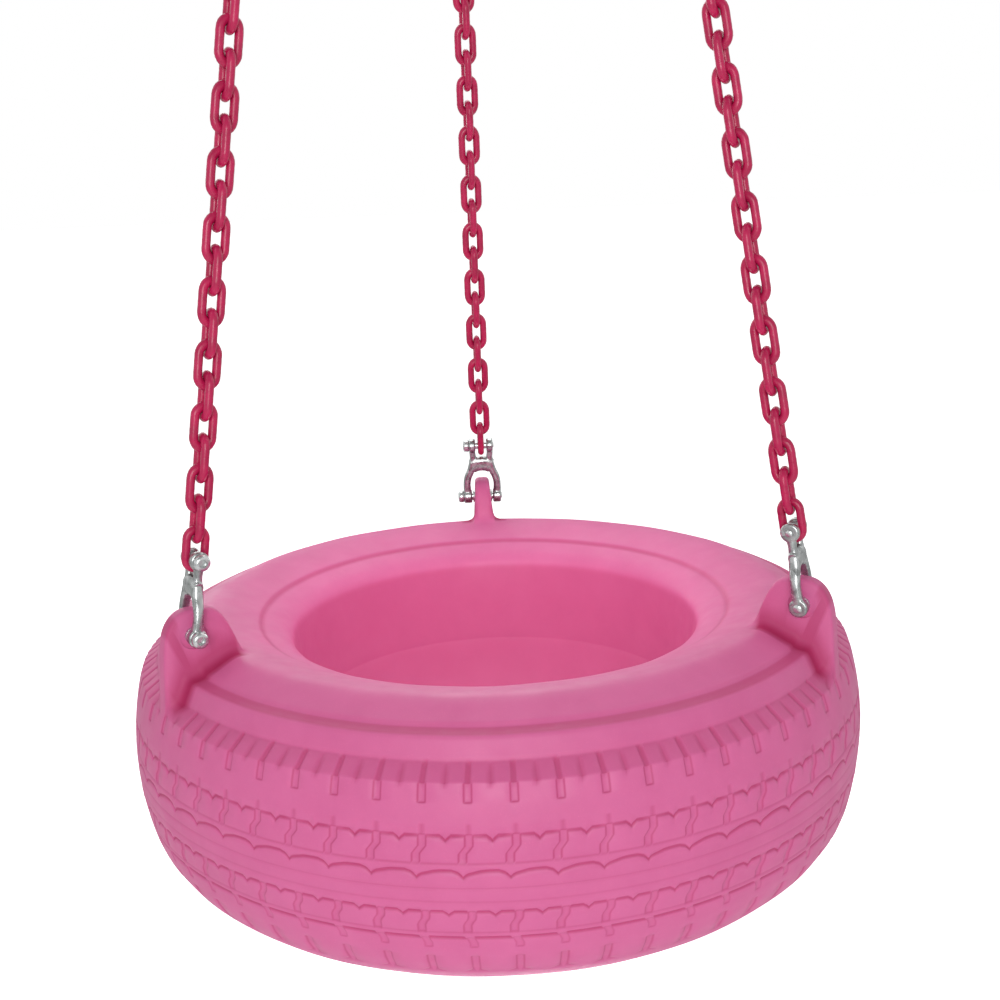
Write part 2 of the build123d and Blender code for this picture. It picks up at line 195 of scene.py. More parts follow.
def evaluated(piece):
    """Applies a piece's modifiers to its mesh."""
    graph = bpy.context.evaluated_depsgraph_get()
    mesh = bpy.data.meshes.new_from_object(piece.evaluated_get(graph))
    piece.modifiers.clear()
    piece.data = mesh
    return piece


def cut(piece, cutter):
    """Subtracts a closed cutter shape from a piece."""
    tool = make_piece("cutter", *cutter, piece.data.materials[0])
    boolean = piece.modifiers.new("cut", "BOOLEAN")
    boolean.operation = "DIFFERENCE"
    boolean.solver = "MANIFOLD"
    boolean.object = tool
    evaluated(piece)
    bpy.data.objects.remove(tool)
    return piece


# ---- materials -------------------------------------------------------------------------------
def add_node(tree, kind, inputs=None, **settings):
    """Adds a shader node; an input is a value, or another node's output to link."""
    made = tree.nodes.new(kind)
    for key, value in settings.items():
        setattr(made, key, value)
    for key, value in (inputs or {}).items():
        if isinstance(value, bpy.types.NodeSocket):
            tree.links.new(value, made.inputs[key])
        else:
            made.inputs[key].default_value = value
    return made


def new_material(name):
    material = bpy.data.materials.new(name)
    material.use_nodes = True
    return material, material.node_tree, material.node_tree.nodes["Principled BSDF"]


def set_inputs(tree, shader, **values):
    for key, value in values.items():
        socket = shader.inputs[key.replace("_", " ")]
        if isinstance(value, bpy.types.NodeSocket):
            tree.links.new(value, socket)
        else:
            socket.default_value = value


def noise(tree, scale, detail=2.0, roughness=0.5):
    place = add_node(tree, "ShaderNodeTexCoord").outputs["Object"]
    inputs = {"Vector": place, "Scale": scale, "Detail": detail, "Roughness": roughness}
    return add_node(tree, "ShaderNodeTexNoise", inputs).outputs["Fac"]


def blend_colours(tree, factor, first, second):
    """Mix of two colours, each an (r, g, b) triple or a socket."""
    inputs = {}
    for key, value in ((6, first), (7, second)):
        inputs[key] = value if isinstance(value, bpy.types.NodeSocket) else (*value, 1)
    inputs[0] = factor
    return add_node(tree, "ShaderNodeMix", inputs, data_type="RGBA").outputs[2]


def remap(tree, value, low, high, to_low, to_high):
    inputs = {"Value": value, "From Min": low, "From Max": high, "To Min": to_low, "To Max": to_high}
    return add_node(tree, "ShaderNodeMapRange", inputs).outputs["Result"]


def bump(tree, height, depth_mm, strength=1.0, under=None):
    inputs = {"Height": height, "Distance": depth_mm * MM, "Strength": strength}
    if under is not None:
        inputs["Normal"] = under
    return add_node(tree, "ShaderNodeBump", inputs).outputs["Normal"]


def moulded_plastic():
    """Rotationally moulded pink polyethylene: satin, faintly mottled, with painted shade, darker and redder, in
    the grooves, ear valleys, bore and round the hole.
    """
    material, tree, shader = new_material("moulded_plastic")
    mottle = remap(tree, noise(tree, 22, 4, 0.6), 0.3, 0.7, 0, 1)
    colour = blend_colours(tree, mottle, (0.690, 0.130, 0.328), (0.735, 0.148, 0.358))
    speck = remap(tree, noise(tree, 900, 1), 0.62, 0.75, 0, 0.35)
    colour = blend_colours(tree, speck, colour, (0.80, 0.17, 0.38))
    painted_shade = add_node(tree, "ShaderNodeAttribute", attribute_name="painted_shade").outputs["Fac"]
    # Painted shade: the seat's shade mask blends in a darker, redder pink and lowers the sheen where it lies.
    colour = blend_colours(tree, painted_shade, colour, (0.46, 0.036, 0.125))
    rough = remap(tree, noise(tree, 60, 3), 0.3, 0.7, 0.45, 0.57)
    skin = bump(tree, noise(tree, 420, 2), 0.10, 0.35)
    skin = bump(tree, noise(tree, 70, 2), 0.5, 0.25, skin)
    set_inputs(tree, shader, Base_Color=colour, Roughness=rough, Normal=skin)
    set_inputs(tree, shader, Subsurface_Weight=0.12, Subsurface_Scale=0.004,
               Subsurface_Radius=(1.0, 0.35, 0.5))
    set_inputs(tree, shader, Specular_IOR_Level=remap(tree, painted_shade, 0, 1, 0.45, 0.0))
    return material


def coated_pink():
    """Dipped plastisol over the chain: glossy deep pink and lumpy."""
    material, tree, shader = new_material("dipped_coating")
    mottle = remap(tree, noise(tree, 90, 3), 0.3, 0.7, 0, 1)
    colour = blend_colours(tree, mottle, (0.42, 0.007, 0.066), (0.58, 0.012, 0.098))
    rough = remap(tree, noise(tree, 240, 2), 0.3, 0.7, 0.24, 0.42)
    skin = bump(tree, noise(tree, 330, 3), 0.35, 0.5)
    set_inputs(tree, shader, Base_Color=colour, Roughness=rough, Normal=skin)
    set_inputs(tree, shader, Coat_Weight=0.15, Coat_Roughness=0.2, Specular_IOR_Level=0.4)
    return material


def zinc_metal(name, dark, light, rough_low, rough_high, spangle, grain_mm, tint=(0.55, 0.62, 0.58)):
    """Galvanised or plated steel: crystal spangle, dull patches and a fine cast grain."""
    material, tree, shader = new_material(name)
    place = add_node(tree, "ShaderNodeTexCoord").outputs["Object"]
    cells = add_node(tree, "ShaderNodeTexVoronoi", {"Vector": place, "Scale": spangle})
    patch = add_node(tree, "ShaderNodeRGBToBW", {"Color": cells.outputs["Color"]}).outputs[0]
    colour = blend_colours(tree, patch, dark, light)
    stain = remap(tree, noise(tree, 75, 4, 0.65), 0.5, 0.75, 0, 0.55)
    colour = blend_colours(tree, stain, colour, tint)
    rough = remap(tree, noise(tree, 190, 4), 0.3, 0.7, rough_low, rough_high)
    grain = bump(tree, noise(tree, 520, 4, 0.6), grain_mm, 0.6)
    set_inputs(tree, shader, Base_Color=colour, Metallic=0.92, Roughness=rough, Normal=grain)
    return material


def turned_metal(name, colour, worn, roughness):
    """Machined or pressed metal with fine marks and slightly worn patches."""
    material, tree, shader = new_material(name)
    wear = remap(tree, noise(tree, 120, 5, 0.6), 0.4, 0.7, 0, 1)
    base = blend_colours(tree, wear, colour, worn)
    rough = remap(tree, noise(tree, 400, 3), 0.3, 0.7, roughness - 0.08, roughness + 0.08)
    marks = bump(tree, noise(tree, 900, 2), 0.05, 0.4)
    set_inputs(tree, shader, Base_Color=base, Metallic=1.0, Roughness=rough, Normal=marks)
    return material


def seal_rubber():
    material, tree, shader = new_material("seal_rubber_black")
    bloom = remap(tree, noise(tree, 160, 4), 0.45, 0.75, 0, 0.6)
    colour = blend_colours(tree, bloom, (0.018, 0.018, 0.019), (0.06, 0.058, 0.056))
    grain = bump(tree, noise(tree, 700, 2), 0.06, 0.5)
    set_inputs(tree, shader, Base_Color=colour, Roughness=0.62, Normal=grain)
    return material


plastic = moulded_plastic()
coating = coated_pink()
finishes = {
    "pink_plastic": plastic,
    "pink_coating": coating,
    "galvanised_steel": zinc_metal("forged_zinc", (0.24, 0.25, 0.25), (0.56, 0.58, 0.58),
                                   0.20, 0.38, 210, 0.22),
    "bolt_steel": zinc_metal("plated_zinc", (0.48, 0.50, 0.50), (0.74, 0.76, 0.76),
                             0.20, 0.36, 320, 0.10),
    "swivel_iron": zinc_metal("cast_zinc", (0.32, 0.33, 0.34), (0.52, 0.54, 0.55),
                              0.42, 0.60, 110, 0.40, (0.42, 0.44, 0.45)),
    "bronze": turned_metal("oiled_bronze", (0.48, 0.27, 0.10), (0.60, 0.38, 0.17), 0.34),
    "bearing_steel": turned_metal("ground_steel", (0.60, 0.61, 0.63), (0.72, 0.73, 0.74), 0.18),
    "cage_brass": turned_metal("pressed_brass", (0.62, 0.44, 0.16), (0.72, 0.55, 0.26), 0.28),
    "seal_rubber": seal_rubber(),
}

# ---- tread pattern ---------------------------------------------------------------------------
# Upright grooves: (place across one repeat, half width, lowest and highest z, depth).
lug_low, lug_high = 77, 86.6
upright_grooves = [
    (0, 1.9, lug_low - 1, lug_high + 0.6, 1.7),  # between shoulder lugs
    (pitch / 2, 1.4, lug_low - 1, lug_high - 1.2, 1.3),  # slit in each lug
    (0, 2.9, 63.5, lug_low, 1.2),  # run-out below the lugs
    (0, 1.7, 41.5, 48.5, 0.5),  # tick above the upper dashes
    (0, 2.8, 20, 41, 1.1),  # between upper blocks
    (0, 2.6, -37.5, -18.7, 1.0),  # between lower blocks
    (0, 2.6, -50.8, -42, 0.7),  # tick below the lower line
    (0, 3.2, -80, -60, 1.3),  # bottom shoulder
]
# Lines round the tread: (z, half width, depth, half gap left open at each upright groove).
ring_lines = [
    (lug_high + 0.4, 0.8, 0.4, 0),
    (40.3, 1.1, 1.3, 3.9),
    (19.5, 1.2, 0.5, 3.0),
    (11.3, 1.1, 1.2, 0),
    (middle - 5.6, 0.6, 0.35, 0),
    (-10.7, 1.0, 0.3, 0),
    (-19.1, 1.1, 1.2, 3.6),
    (-37.1, 1.0, 0.4, 3.0),
    (-42, 1.1, 1.2, 3.6),
]
notches = [(40.3, 3.9), (-19.1, 3.0)]  # dashes dip by this much half way between upright grooves
wave_height = 5.6  # of the line at z 11.3
groove_painted_shade = 0.6  # how much painted shade a full groove gets


def across_repeat(angle):
    """Distance from the nearest upright groove, along the tread."""
    place = (angle - pattern_turn) * crown
    return (place + pitch / 2) % pitch - pitch / 2


def groove_depth(across, z):
    """How far the tread lies below its crown, and how much painted shade it gets: groove walls and narrow lines
    get the most.
    """
    depth = np.zeros(np.broadcast(across, z).shape)
    shade = np.zeros(depth.shape)
    for place, half, low, high, deep in upright_grooves:
        off = (across - place + pitch / 2) % pitch - pitch / 2
        part = inside(off, -half, half, 1.1) * inside(z, low, high, 0.9)
        depth = np.maximum(depth, deep * part)
        # Painted shade: strongest on a groove's walls, faint on its floor; narrow grooves get it all across.
        walls = 3.4 * part * (1 - part) + 0.12 * part
        shade = np.maximum(shade, groove_painted_shade * min(1, deep) * (part if half < 2.5 else walls))
    for height, half, deep, gap in ring_lines:
        line = inside(z, height - half, height + half, 0.7)
        if gap:
            line = line * smoothstep(gap - 0.7, gap + 0.7, np.abs(across))
        depth = np.maximum(depth, deep * line)
        shade = np.maximum(shade, groove_painted_shade * min(1, deep) * line)
    return depth, shade


def lean_shift(z):
    """Sideways lean of the block grooves, as the upper and the lower block rows both have it."""
    upper = -5.0 * smoothstep(33.5, 26, z) * smoothstep(-6, 8, z)
    lower = -3.8 * smoothstep(-24, -31, z) * smoothstep(-47, -39, z)
    return upper + lower


def row_shift(across, z):
    """Vertical waviness of the mesh rows that follow the notched dashes and the wavy line."""
    shift = np.zeros(np.broadcast(across, z).shape)
    from_middle = np.abs(np.abs(across) - pitch / 2)
    for height, drop in notches:
        near = smoothstep(height - 11, height - 2, z) * smoothstep(height + 7, height + 2, z)
        shift = shift - drop * np.clip(1 - from_middle / 3.4, 0, 1) * near
    phase = (across / pitch) % 1
    rise = np.sin(0.5 * math.pi * np.clip(phase / 0.62, 0, 1) ** 0.65)
    fall = np.cos(0.5 * math.pi * np.clip((phase - 0.68) / 0.32, 0, 1) ** 1.5)
    near = smoothstep(1.5, 9, z) * smoothstep(19, 13.6, z)
    return shift + wave_height * (rise * fall - 0.5) * near


def tread_rows():
    """Heights of the tread's mesh rows: close together at every edge, and never far apart."""
    marks = []
    for height, half, deep, gap in ring_lines:
        steps = (-1.7, -0.75, 0, 0.75, 1.7) if deep > 1 else (-1.4, 0, 1.4)
        marks += [height + step * half for step in steps]
    for end in (63.5, 48.5, -50.8, -60, lug_low, -73):
        marks += [end - 1, end, end + 1]
    marks += [lug_high, lug_high - 1.2, lug_high + 1.5, 2 * middle - lug_high - 1.5]
    rows = [min(marks)]
    for mark in sorted(marks)[1:]:
        gap = mark - rows[-1]
        if gap < 0.55:
            continue
        extra = math.ceil(gap / (2.9 if abs(mark) < 42 else 5.5))
        rows += [rows[-1] + gap * (k + 1) / extra for k in range(extra)]
    return rows


# ---- seat section ----------------------------------------------------------------------------
def tread_radius(z):
    """Radius at height z of the rounded tread, the ledge of lugs above it and the shoulder below it."""
    height = np.abs(z - middle)
    ledge = np.interp(z, [62 + middle, lug_low, lug_high, lug_high + 1.5],
                      [crown - 8, crown - 11.2, crown - 24.8, crown - 25.5])
    below = np.interp(height, [62, 73, 85.7], [crown - 8, crown - 12, crown - 20])
    return np.where(height < 62, crown - 8 * (height / 62) ** 2, np.where(z > middle, ledge, below))


hole = 181
top_sidewall = [
    (310, 89.6), (308.6, 92.6), (307, 96), (305.2, 99.8), (304.2, 101.6), (302.6, 103), (300.4, 103.6),
    (297.5, 104), (294, 104.8), (291.8, 105.6), (290.8, 107), (289.6, 108.3), (287.4, 109.3),
    (281, 112.2), (274, 115.6), (268, 118), (262, 119), (250, 117.7), (238, 114.6), (227, 110.8),
    (221, 108.8), (218.2, 107.6), (216.8, 105.9), (214.8, 104.9), (207, 102.2), (199, 98.2),
    (193.2, 93.9), (190, 90.4), (188.4, 86.6), (187.3, 81), (186, 74), (184.4, 62), (182.9, 46),
    (181.8, 28), (hole, middle + 3),
]
bottom_shoulder = [(292, -97.6), (298.5, -94.8), (304.3, -91.4), (310.3, -85.8), (315.6, -80.2)]


def sidewall_run(start, low, high, spacing):
    """Evenly spaced section points from `start` on through the sidewall's points between two radii."""
    return curve_through([tuple(start)] + [p for p in top_sidewall if low <= p[0] < high], spacing)[1:]


def seat_section():
    """Rows of the seat's skin once round its section as (r, z), and the detail level of each."""
    tread = [(float(tread_radius(z)), z) for z in tread_rows()]
    steps = sidewall_run(tread[-1], 287, crown, 1.5)
    shoulder = sidewall_run(steps[-1], 248, 287, 3.6)
    inner = sidewall_run(shoulder[-1], 222, 248, 4.5)
    lip = sidewall_run(inner[-1], 186, 222, 2.0)
    bore = sidewall_run(lip[-1], 0, 186, 9)
    bead = [(hole - 0.5, middle + 0.8), (hole - 0.5, middle - 0.8)]  # flash along the parting line
    under = [(r, 2 * middle - z) for r, z in reversed(top_sidewall) if r < 288]
    under = curve_through(under + bottom_shoulder + [tread[0]], 4.2)[:-1]
    rows = np.vstack([tread, steps, shoulder, inner, lip, bore, bead, under])
    levels = [2] * len(tread) + [1] * (len(steps) + len(shoulder))
    return rows, np.array(levels + [0] * (len(rows) - len(levels)))


def section_shade(r, z):
    """Painted shade, a deeper colour, down the bore, in the ring round the hole and on the ledge under the step.
    """
    bore = 0.36 * smoothstep(189.2, 187.4, r) * smoothstep(-110, -60, z)
    ledge = 0.5 * inside(r, 292.5, 302, 1.2) * smoothstep(98, 102, z)
    ring = 0.38 * inside(r, 214, 218.5, 2.2) * smoothstep(98, 102, z)
    return np.maximum(np.maximum(bore, ring), ledge)


def section_normals(rows):
    """Outward normals of a closed section that runs up the tread."""
    along = np.roll(rows, -1, axis=0) - np.roll(rows, 1, axis=0)
    along /= np.linalg.norm(along, axis=1)[:, None]
    return np.column_stack([along[:, 1], -along[:, 0]])


# ---- ears ------------------------------------------------------------------------------------
ear_reach = math.radians(5.2)  # mesh columns within this of an ear follow its shape
ear_start, ear_end = 249, 76  # the ear's inner foot by radius, and its outer foot by height
ear_outline = [
    (253.5, 120), (256.2, 126), (259, 134), (262.5, 142.5), (266.5, 150.5), (271.5, 156.6),
    (279, 160.2), (290, 161.4), (298, 161), (304.5, 158.8), (310.5, 154), (315.3, 146.3),
    (318.6, 135.5), (320.4, 122), (321.4, 108), (322, 97), (322.8, 88), (324, 80.5),
]
ear_fillet, ear_edge_round = 8.0, 4.2
ear_tint = 0.08  # how much deeper the whole ear is coloured; its foot gets painted shade, darker still


def ear_cross_section(t, height):
    """(y, h) of an ear's skin: t runs from 0 in its middle plane to 1 on the sidewall beside it."""
    edge = min(ear_edge_round, 0.45 * height)
    fillet = min(ear_fillet, 0.5 * height)
    half = 9.8 - 1.7 * min(1, height / 45)
    foot = 10.8
    reach = 23.5
    points = [(0, height), ((half - edge) * 0.6, height)]
    for a in np.linspace(0, 0.5 * math.pi, 5):
        points.append((half - edge + edge * math.sin(a), height - edge + edge * math.cos(a)))
    points.append((0.5 * (half + foot), 0.5 * (height - edge + fillet)))
    for a in np.linspace(0, 0.5 * math.pi, 6):
        points.append((foot + fillet - fillet * math.cos(a), fillet - fillet * math.sin(a)))
    points.append((reach, 0))
    points = np.array(points)
    places = np.linspace(0, 1, len(points))
    return np.interp(t, places, points[:, 0]), np.interp(t, places, points[:, 1])


def ear_rows(rows):
    """For each row that crosses the ears: its index and the point of the ear's outline over it."""
    crossing = [i for i, (r, z) in enumerate(rows) if r > ear_start and z > ear_end]
    base = rows[crossing]
    outline = curve_through([tuple(base[0])] + ear_outline[::-1] + [tuple(base[-1])], 1.0)
    share = run_length(base) / run_length(base)[-1]
    along = run_length(outline) / run_length(outline)[-1]
    over = np.column_stack([np.interp(share, along, outline[:, k]) for k in (0, 1)])
    return dict(zip(crossing, over))


def shape_ears(rows, angles, angle, radius, z, mask, shade):
    """Raises the three ears out of the grid.

    The mask falls to 0 where an ear hides the tread, and the shade tints the ear a little and paints shade into
    the valley along its foot.
    """
    for row, over in ear_rows(rows).items():
        rise = over - rows[row]
        height = float(np.hypot(*rise))
        if height < 0.05:
            continue
        for azimuth in AZIMUTHS.values():
            off = (angles - azimuth + math.pi) % (2 * math.pi) - math.pi
            near = np.where(np.abs(off) < ear_reach)[0]
            near = near[np.argsort(off[near])]
            t = np.linspace(-1, 1, len(near))
            y, h = ear_cross_section(np.abs(t), height)
            settled = smoothstep(0, 8, height)
            y = off[near] * rows[row][0] * (1 - settled) + np.sign(t) * y * settled
            x = np.sqrt(rows[row][0] ** 2 - y**2) + rise[0] * h / height
            angle[row, near] = azimuth + np.arctan2(y, x)
            radius[row, near] = np.hypot(x, y)
            z[row, near] = rows[row][1] + rise[1] * h / height
            mask[row, near] = 1 - (1 - smoothstep(14, 19, np.abs(y))) * smoothstep(0, 4, height)
            # Painted shade in the concave valley along the ear's foot.
            foot = np.exp(-((np.abs(y) - 17) / 9) ** 2) * (1 - smoothstep(7, 26, h))
            blade = ear_tint * (1 - smoothstep(14, 22, np.abs(y)))
            shade[row, near] = np.maximum(foot, blade) * smoothstep(4, 16, height)


# ---- seat mesh -------------------------------------------------------------------------------
column_places = (-4.1, -2.9, -1.7, 0, 1.7, 2.9, 4.1, 12.8, 15.6, 17, 18.4, 21.2, 25.6)
plain_places = (0, 12.8, 21.2)


def seat_columns():
    """Angles of the mesh columns in order, and the lowest detail level that each belongs to."""
    angles, levels = [], []
    for repeat in range(repeats):
        for place in column_places:
            angle = pattern_turn + (repeat * pitch + place) / crown
            off = [abs((angle - a + math.pi) % (2 * math.pi) - math.pi) for a in AZIMUTHS.values()]
            angles.append(angle)
            levels.append(0 if place in plain_places else 1 if min(off) < ear_reach else 2)
    return np.array(angles), np.array(levels)


def bridge(first, second):
    """Faces between two rows of (column, vertex) pairs, where one row's columns include the other's."""
    faces = []
    coarse, fine = (first, second) if len(first) <= len(second) else (second, first)
    fine_of = dict(fine)
    order = [column for column, vertex in fine]
    at = {column: i for i, column in enumerate(order)}
    flip = coarse is second
    for k, (column, vertex) in enumerate(coarse):
        after, after_vertex = coarse[(k + 1) % len(coarse)]
        count = (at[after] - at[column]) % len(order)
        run = [fine_of[order[(at[column] + i) % len(order)]] for i in range(count + 1)]
        if count == 1:
            made = [[vertex, after_vertex, run[1], run[0]]]
        else:
            half_way = len(run) // 2
            made = [[vertex, run[i + 1], run[i]] for i in range(half_way)]
            made.append([vertex, after_vertex, run[half_way]])
            made += [[after_vertex, run[i + 1], run[i]] for i in range(half_way, count)]
        faces += [face[::-1] for face in made] if flip else made
    return faces


def seat_skin():
    """The tire's outer skin with its tread and ears, and the painted shade at each point."""
    rows, row_levels = seat_section()
    normals = section_normals(rows)
    angles, column_levels = seat_columns()
    shape = (len(rows), len(angles))
    angle = np.broadcast_to(angles, shape).copy()
    radius = np.broadcast_to(rows[:, :1], shape).copy()
    z = np.broadcast_to(rows[:, 1:], shape).copy()
    mask = np.ones(shape)
    height = z.copy()
    ear_shade = np.zeros(shape)
    shape_ears(rows, angles, angle, radius, z, mask, ear_shade)
    patterned = (row_levels == 2)[:, None] * mask
    across = across_repeat(angle)
    depth, shade = groove_depth(across, height)
    depth = depth * patterned
    lugs = inside(height, lug_low, lug_high, 0.8) * patterned
    # Painted shade on the ledge of lugs: a little on the lug faces, more in the gaps between them.
    shade = shade * patterned * (1 - lugs) + lugs * (0.12 + 0.3 * np.clip(depth, 0, 1))
    shade = np.maximum(shade, ear_shade)
    shade = np.maximum(shade, section_shade(*rows.T)[:, None])
    swell = 0.22 * np.sin(7 * angle + 1.3) * np.cos(height / 45) + 0.14 * np.sin(19 * angle + height / 27)
    off = -depth + swell * (1 - np.clip(depth, 0, 1)) - skin_inset
    radius = radius + normals[:, :1] * off
    z = z + normals[:, 1:] * off + row_shift(across, height) * patterned
    angle = angle + lean_shift(height) * patterned / crown
    index = -np.ones(shape, int)
    keep = column_levels[None, :] <= row_levels[:, None]
    index[keep] = np.arange(keep.sum())
    x, y = radius * np.cos(angle), radius * np.sin(angle)
    points = np.column_stack([x[keep], y[keep], z[keep] + seat_z])
    faces = []
    for row in range(len(rows)):
        next_row = (row + 1) % len(rows)
        faces += bridge(*[[(c, int(v)) for c, v in enumerate(index[r]) if v >= 0] for r in (row, next_row)])
    return points, faces, np.clip(shade, 0, 1)[keep]


def seat_lining():
    """The cavity inside the tire, facing inwards."""
    tread = crown - wall
    upper = [(tread - 1, 0), (tread - 3, 30), (tread - 9, 62), (tread - 29, 78), (297, 91),
             (285, 96.5), (263, 104), (225, 93), (203, 84), (195, 68), (191, 0)]
    around = upper + [(r, -z) for r, z in upper[-2:0:-1]] + upper[:1]
    profile = curve_through([(r, z + middle) for r, z in around], 12)[:-1]
    turn = np.linspace(0, 2 * math.pi, 2 * repeats, endpoint=False)
    points = [(r * math.cos(a), r * math.sin(a), z + seat_z) for r, z in profile for a in turn]
    faces = []
    for j in range(len(profile)):
        k = (j + 1) % len(profile)
        for i in range(len(turn)):
            n = (i + 1) % len(turn)
            quad = [j * len(turn) + i, j * len(turn) + n, k * len(turn) + n, k * len(turn) + i]
            faces.append(quad[::-1])
    return points, faces


def bolt_cutter(name):
    """The bolt's bore through an ear with a shallow recess on either face."""
    face, out = recess_half, 15
    profile = [(0, -out), (recess_radius, -out), (recess_radius, -face), (sleeve_hole, -face),
               (sleeve_hole, face), (recess_radius, face), (recess_radius, out), (0, out)]
    place = local_to_frame(name) @ Matrix.Translation((ear_radius, 0, ear_bolt.z)) @ Z_TO_Y
    return moved(lathe(profile), place)


def drain_cutter(name):
    profile = [(0, -12), (drain_radius + 1.2, -12), (drain_radius + 1.2, 0.4), (drain_radius, 1.6),
               (drain_radius, 20), (0, 20)]
    turn = Matrix.Rotation(AZIMUTHS[name] + math.radians(60), 4, "Z")
    underside = seat_z + 2 * middle - crest
    return moved(lathe(profile, 32), turn @ Matrix.Translation((drain_ring, 0, underside)))


def build_seat():
    points, faces, painted_shade = seat_skin()
    lining = seat_lining()
    points, faces = join_shapes([(points, faces), lining])
    seat = make_piece("tire_seat", points, faces, plastic)
    # Painted shade of each skin point; the lining gets none.
    values = np.concatenate([painted_shade, np.zeros(len(lining[0]))]).astype(np.float32)
    seat.data.attributes.new("painted_shade", "FLOAT", "POINT").data.foreach_set("value", values)
    cut(seat, join_shapes([cutter(name) for cutter in (bolt_cutter, drain_cutter) for name in AZIMUTHS]))
    seat.data.set_sharp_from_angle(angle=math.radians(66))
    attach(seat, "seat")
    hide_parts("seat_shell")


# ---- chains ----------------------------------------------------------------------------------
def chain_link(number):
    """One coated link in its own X-Z plane, its coat a little uneven."""
    wire, inner_width, crowns = bolt_link if number in (0, link_count - 1) else common_link
    bend = inner_width / 2 + wire
    straight = (link_pitch + link_gap) / 2 + wire - bend
    arc = np.linspace(0, math.pi, 13)
    side = np.linspace(-straight, straight, 7)[1:-1]
    path = [(bend * math.cos(a), straight + bend * math.sin(a), a) for a in arc]
    path += [(-bend, z, math.pi) for z in side[::-1]]
    path += [(-bend * math.cos(a), -straight - bend * math.sin(a), a + math.pi) for a in arc]
    path += [(bend, z, 0) for z in side]
    ring = np.linspace(0, 2 * math.pi, 14, endpoint=False)
    points = []
    for x, z, out in path:
        lump = 1 + 0.022 * math.sin(3 * out + 1.7 * number) + 0.018 * math.sin(z * 0.9 + number)
        for a in ring:
            reach = wire * lump * math.cos(a) + crowns * math.sin(out) ** 2 * max(0, math.cos(a))
            points.append((x + reach * math.cos(out), wire * lump * math.sin(a), z + reach * math.sin(out)))
    count = len(ring)
    faces = []
    for j in range(len(path)):
        k = (j + 1) % len(path)
        for i in range(count):
            n = (i + 1) % count
            faces.append([j * count + i, k * count + i, k * count + n, j * count + n])
    return points, faces


def build_chain(name, twist_degrees):
    first = clevis_length + (link_pitch + link_gap) / 2 - link_shank - link_gap
    shapes = []
    for number in range(link_count):
        turn = 90 * (number % 2) + twist_degrees * math.sin(math.pi * number / (link_count - 1))
        place = chain_to_local(first + number * link_pitch) @ Matrix.Rotation(math.radians(turn), 4, "Z")
        shapes.append(moved(chain_link(number), local_to_frame(name) @ place))
    points, faces = join_shapes(shapes)
    chain = make_piece(name + "_coated_chain", points, faces, coating)
    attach(chain, BODY_OF[name + "_chain"])
    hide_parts(name + "_chain")


# ---- clevises and bolts ----------------------------------------------------------------------
clevis_low, clevis_high = span("rear_clevis")
lower_width = clevis_high[0] - clevis_low[0]
lower_arm = 9.2  # thickness of each lower arm, along the bolt
upper_width, upper_arm = 27.2, 7.3
lower_eye, upper_eye = 7.9, 8.0
ear_shank, ear_tip = 4.75, 3.75
# Shoulder bolts: shank and tip radius, width over the arms, gap between them, height above the ear bolt.
bolts = {
    "ear": (ear_shank, ear_tip, lower_width, lower_width - 2 * lower_arm, 0),
    "link": (link_shank, link_tip, upper_width, upper_width - 2 * upper_arm, clevis_length),
}


def bar(centres, halves_x, halves_y, power=2.6):
    """Rounded bar along a curve in the Y-Z plane; its section is a superellipse."""
    c = np.array(centres, float)
    along = np.gradient(c, axis=0)
    along /= np.linalg.norm(along, axis=1)[:, None]
    turn = np.linspace(0, 2 * math.pi, 24, endpoint=False)
    cx = np.sign(np.cos(turn)) * np.abs(np.cos(turn)) ** (2 / power)
    cy = np.sign(np.sin(turn)) * np.abs(np.sin(turn)) ** (2 / power)
    points = []
    for (y, z), (ty, tz), hx, hy in zip(c, along, halves_x, halves_y):
        points += [(hx * a, y + hy * b * tz, z - hy * b * ty) for a, b in zip(cx, cy)]
    count = len(turn)
    faces = []
    for j in range(len(c) - 1):
        for i in range(count):
            n = (i + 1) % count
            faces.append([j * count + i, j * count + n, (j + 1) * count + n, (j + 1) * count + i])
    faces.append(list(range(count))[::-1])
    faces.append([(len(c) - 1) * count + i for i in range(count)])
    return points, faces


def eye_disc(radius, y0, y1, z):
    """Rounded boss about the bolt, from y0 to y1."""
    edge = 1.6
    profile = [(0, y0), (radius - edge, y0), (radius - 0.4, y0 + 0.5), (radius, y0 + edge),
               (radius, y1 - edge), (radius - 0.4, y1 - 0.5), (radius - edge, y1), (0, y1)]
    return moved(lathe(profile), Matrix.Translation((0, 0, z)) @ Z_TO_Y)


def clevis_arm(side):
    """One arm of the forged H, from the ear bolt's eye to the link bolt's eye."""
    low = (lower_width - lower_arm) / 2
    high = (upper_width - upper_arm) / 2
    top = clevis_length
    line = curve_through([(low, -1), (low + 0.5, 8), (low + 0.6, 16), (low - 0.9, 24), (low - 4.2, 31.5),
                          (high + 0.6, 39), (high - 0.6, 46), (high, 54), (high, top)], 2.0)
    z = line[:, 1]
    half_x = np.interp(z, [0, 8, 16, 26, 34, 42, 50, 57, top],
                       [6.0, 4.6, 4.1, 4.3, 4.7, 4.1, 3.5, 4.2, 5.5])
    half_y = np.interp(z, [0, 14, 28, 40, 52, top],
                       [lower_arm / 2, 4.1, 4.3, 4.0, 3.5, upper_arm / 2])
    line[:, 0] *= side
    return bar(line, half_x, half_y)


def bolt_holes():
    """Bores for both shoulder bolts, wide on the head's side and narrow in the far arm."""
    fit = 0.06
    bores = []
    for shank, tip, width, gap, height in bolts.values():
        step = -gap / 2 + 0.5
        profile = [(0, -width), (tip + fit, -width), (tip + fit, step), (shank + fit, step),
                   (shank + fit, width), (0, width)]
        bores.append(moved(lathe(profile, 40), Matrix.Translation((0, 0, height)) @ Z_TO_Y))
    return join_shapes(bores)


